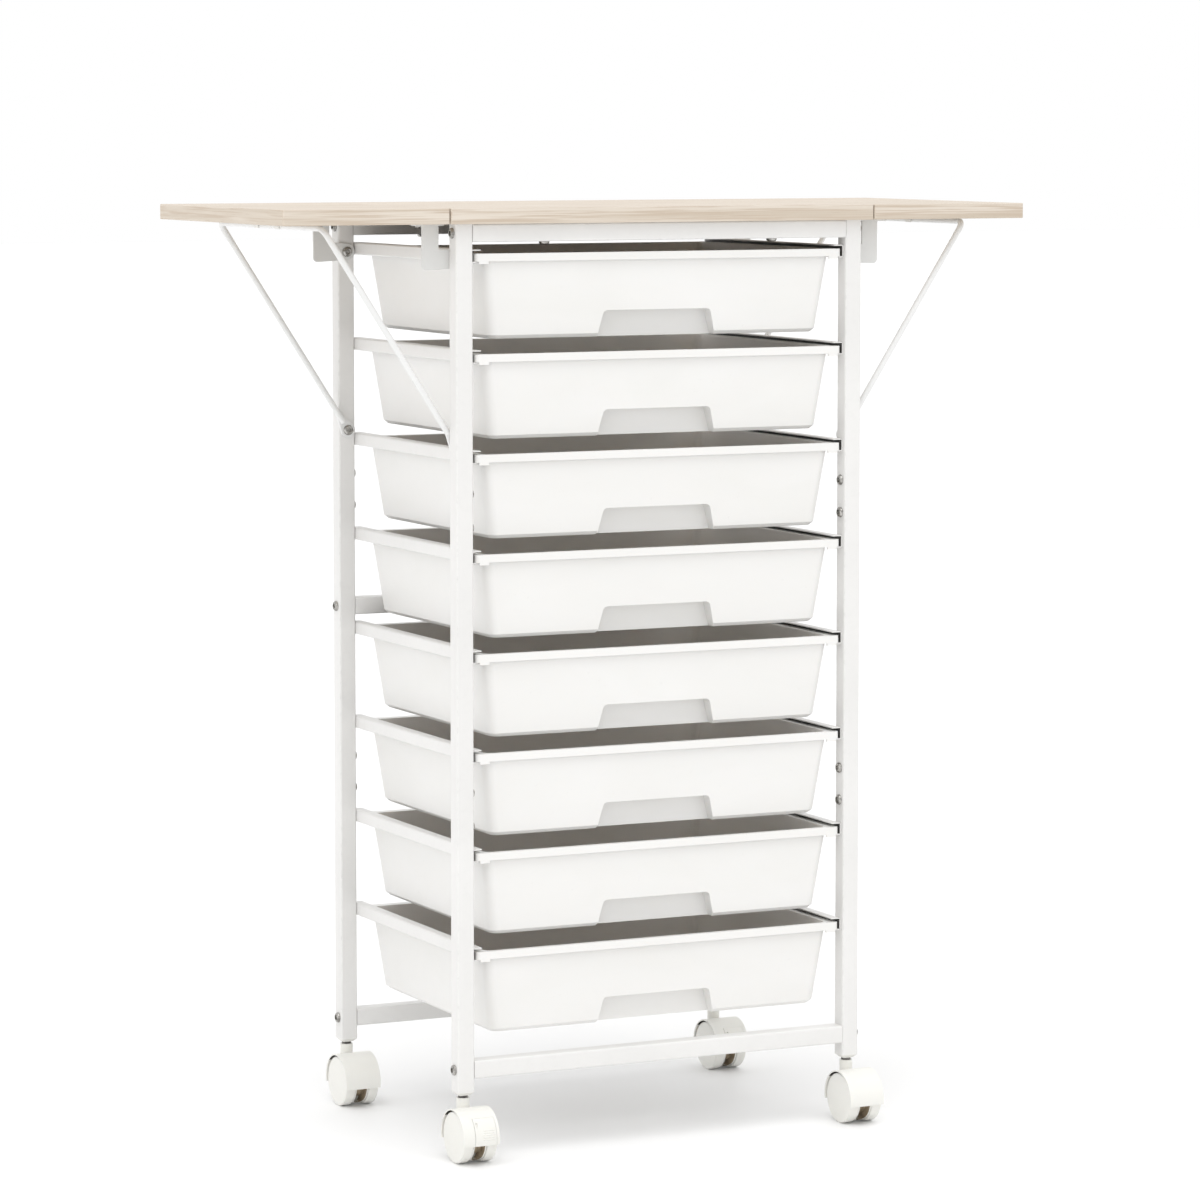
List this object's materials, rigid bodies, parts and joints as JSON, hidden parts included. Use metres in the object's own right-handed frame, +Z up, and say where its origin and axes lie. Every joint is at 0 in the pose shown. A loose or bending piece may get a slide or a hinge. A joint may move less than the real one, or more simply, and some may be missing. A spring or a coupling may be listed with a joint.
{
  "type": "rolling drawer cart",
  "caption": "White steel tube cart on twin-wheel casters, with sliding plastic tub drawers and a wood-look top whose two leaves fold down beside the frame",
  "frame": {"origin": "Bottom centre of the whole cart, on the floor between the casters.", "axes": "+Z is up and the cart's height. +X is to the right as seen from the front, along the table. The drawers open towards -Y, the front, and +Y, the cart's depth, is the shortest extent."},
  "size_m": [0.7984, 0.3562, 0.916],
  "materials": {
    "frame_paint": "smooth white powder coat",
    "strut_paint": "white painted wire",
    "hinge_paint": "white painted sheet",
    "drawer_plastic": "satin warm white moulded plastic",
    "table_wood": "pale whitewashed oak laminate",
    "caster_plastic": "glossy white moulded plastic",
    "wheel_plastic": "hard off-white plastic",
    "pin_steel": "zinc plated",
    "insert_plastic": "white moulded plastic",
    "screw_nickel": "nickel plated"
  },
  "bodies": {
    "frame": {"front_left_upper_post": "frame_paint", "front_left_middle_post": "frame_paint", "front_left_lower_post": "frame_paint", "front_right_upper_post": "frame_paint", "front_right_middle_post": "frame_paint", "front_right_lower_post": "frame_paint", "rear_left_upper_post": "frame_paint", "rear_left_middle_post": "frame_paint", "rear_left_lower_post": "frame_paint", "rear_right_upper_post": "frame_paint", "rear_right_middle_post": "frame_paint", "rear_right_lower_post": "frame_paint", "front_top_apron": "frame_paint", "rear_top_bar": "frame_paint", "rear_middle_bar": "frame_paint", "front_bottom_bar": "frame_paint", "rear_bottom_bar": "frame_paint", "left_upper_rails": "frame_paint", "left_middle_rails": "frame_paint", "left_lower_rails": "frame_paint", "right_upper_rails": "frame_paint", "right_middle_rails": "frame_paint", "right_lower_rails": "frame_paint", "centre_top": "table_wood", "post_inserts": "insert_plastic", "frame_screws": "screw_nickel"},
    "drawer_1": {"drawer_1": "drawer_plastic"},
    "drawer_2": {"drawer_2": "drawer_plastic"},
    "drawer_3": {"drawer_3": "drawer_plastic"},
    "drawer_4": {"drawer_4": "drawer_plastic"},
    "drawer_5": {"drawer_5": "drawer_plastic"},
    "drawer_6": {"drawer_6": "drawer_plastic"},
    "drawer_7": {"drawer_7": "drawer_plastic"},
    "drawer_8": {"drawer_8": "drawer_plastic"},
    "left_leaf": {"left_leaf": "table_wood", "left_hinge_plates": "hinge_paint"},
    "left_strut": {"left_strut": "strut_paint"},
    "right_leaf": {"right_leaf": "table_wood", "right_hinge_plates": "hinge_paint"},
    "right_strut": {"right_strut": "strut_paint"},
    "front_left_caster": {"front_left_caster_hood": "caster_plastic", "front_left_stem_and_axle": "pin_steel"},
    "front_left_left_wheel": {"front_left_left_wheel": "wheel_plastic"},
    "front_left_right_wheel": {"front_left_right_wheel": "wheel_plastic"},
    "front_left_brake_lever": {"front_left_brake_lever": "caster_plastic"},
    "front_right_caster": {"front_right_caster_hood": "caster_plastic", "front_right_stem_and_axle": "pin_steel"},
    "front_right_left_wheel": {"front_right_left_wheel": "wheel_plastic"},
    "front_right_right_wheel": {"front_right_right_wheel": "wheel_plastic"},
    "rear_left_caster": {"rear_left_caster_hood": "caster_plastic", "rear_left_stem_and_axle": "pin_steel"},
    "rear_left_left_wheel": {"rear_left_left_wheel": "wheel_plastic"},
    "rear_left_right_wheel": {"rear_left_right_wheel": "wheel_plastic"},
    "rear_right_caster": {"rear_right_caster_hood": "caster_plastic", "rear_right_stem_and_axle": "pin_steel"},
    "rear_right_left_wheel": {"rear_right_left_wheel": "wheel_plastic"},
    "rear_right_right_wheel": {"rear_right_right_wheel": "wheel_plastic"},
    "rear_right_brake_lever": {"rear_right_brake_lever": "caster_plastic"}
  },
  "joints": [
    {"name": "drawer_1_slide", "type": "slide", "parent": "frame", "child": "drawer_1", "axis": [0, -1, 0], "range_m": [0, 0.23]},
    {"name": "drawer_2_slide", "type": "slide", "parent": "frame", "child": "drawer_2", "axis": [0, -1, 0], "range_m": [0, 0.23]},
    {"name": "drawer_3_slide", "type": "slide", "parent": "frame", "child": "drawer_3", "axis": [0, -1, 0], "range_m": [0, 0.23]},
    {"name": "drawer_4_slide", "type": "slide", "parent": "frame", "child": "drawer_4", "axis": [0, -1, 0], "range_m": [0, 0.23]},
    {"name": "drawer_5_slide", "type": "slide", "parent": "frame", "child": "drawer_5", "axis": [0, -1, 0], "range_m": [0, 0.23]},
    {"name": "drawer_6_slide", "type": "slide", "parent": "frame", "child": "drawer_6", "axis": [0, -1, 0], "range_m": [0, 0.23]},
    {"name": "drawer_7_slide", "type": "slide", "parent": "frame", "child": "drawer_7", "axis": [0, -1, 0], "range_m": [0, 0.23]},
    {"name": "drawer_8_slide", "type": "slide", "parent": "frame", "child": "drawer_8", "axis": [0, -1, 0], "range_m": [0, 0.23]},
    {"name": "left_leaf_fold", "type": "hinge", "parent": "frame", "child": "left_leaf", "pos_m": [-0.21025, 0.01408, 0.867], "axis": [0, -1, 0], "range_deg": [0, 90]},
    {"name": "left_strut_swing", "type": "hinge", "parent": "frame", "child": "left_strut", "pos_m": [-0.21025, 0.01408, 0.68768], "axis": [0, -1, 0], "range_deg": [0, 146.9]},
    {"name": "right_leaf_fold", "type": "hinge", "parent": "frame", "child": "right_leaf", "pos_m": [0.21025, 0.01408, 0.867], "axis": [0, 1, 0], "range_deg": [0, 90]},
    {"name": "right_strut_swing", "type": "hinge", "parent": "frame", "child": "right_strut", "pos_m": [0.21025, 0.01408, 0.68768], "axis": [0, 1, 0], "range_deg": [0, 146.9]},
    {"name": "front_left_swivel", "type": "hinge", "parent": "frame", "child": "front_left_caster", "pos_m": [-0.21025, -0.13217, 0.06], "axis": [0, 0, 1], "continuous": true},
    {"name": "front_left_left_wheel_spin", "type": "hinge", "parent": "front_left_caster", "child": "front_left_left_wheel", "pos_m": [-0.223, -0.14968, 0.025], "axis": [1, 0, 0], "continuous": true},
    {"name": "front_left_right_wheel_spin", "type": "hinge", "parent": "front_left_caster", "child": "front_left_right_wheel", "pos_m": [-0.1975, -0.14968, 0.025], "axis": [1, 0, 0], "continuous": true},
    {"name": "front_left_brake_press", "type": "hinge", "parent": "front_left_caster", "child": "front_left_brake_lever", "pos_m": [-0.21025, -0.16868, 0.04611], "axis": [-1, 0, 0], "range_deg": [0, 12]},
    {"name": "front_right_swivel", "type": "hinge", "parent": "frame", "child": "front_right_caster", "pos_m": [0.21025, -0.13217, 0.06], "axis": [0, 0, 1], "continuous": true},
    {"name": "front_right_left_wheel_spin", "type": "hinge", "parent": "front_right_caster", "child": "front_right_left_wheel", "pos_m": [0.1975, -0.14968, 0.025], "axis": [1, 0, 0], "continuous": true},
    {"name": "front_right_right_wheel_spin", "type": "hinge", "parent": "front_right_caster", "child": "front_right_right_wheel", "pos_m": [0.223, -0.14968, 0.025], "axis": [1, 0, 0], "continuous": true},
    {"name": "rear_left_swivel", "type": "hinge", "parent": "frame", "child": "rear_left_caster", "pos_m": [-0.21025, 0.16032, 0.06], "axis": [0, 0, 1], "continuous": true},
    {"name": "rear_left_left_wheel_spin", "type": "hinge", "parent": "rear_left_caster", "child": "rear_left_left_wheel", "pos_m": [-0.223, 0.14283, 0.025], "axis": [1, 0, 0], "continuous": true},
    {"name": "rear_left_right_wheel_spin", "type": "hinge", "parent": "rear_left_caster", "child": "rear_left_right_wheel", "pos_m": [-0.1975, 0.14283, 0.025], "axis": [1, 0, 0], "continuous": true},
    {"name": "rear_right_swivel", "type": "hinge", "parent": "frame", "child": "rear_right_caster", "pos_m": [0.21025, 0.16032, 0.06], "axis": [0, 0, 1], "continuous": true},
    {"name": "rear_right_left_wheel_spin", "type": "hinge", "parent": "rear_right_caster", "child": "rear_right_left_wheel", "pos_m": [0.1975, 0.14283, 0.025], "axis": [1, 0, 0], "continuous": true},
    {"name": "rear_right_right_wheel_spin", "type": "hinge", "parent": "rear_right_caster", "child": "rear_right_right_wheel", "pos_m": [0.223, 0.14283, 0.025], "axis": [1, 0, 0], "continuous": true},
    {"name": "rear_right_brake_press", "type": "hinge", "parent": "rear_right_caster", "child": "rear_right_brake_lever", "pos_m": [0.21025, 0.12382, 0.04611], "axis": [-1, 0, 0], "range_deg": [0, 12]}
  ],
  "couplings": [
    {"joint": "left_strut_swing", "follows": "left_leaf_fold", "ratio": 1.6322},
    {"joint": "right_strut_swing", "follows": "right_leaf_fold", "ratio": 1.6322}
  ]
}
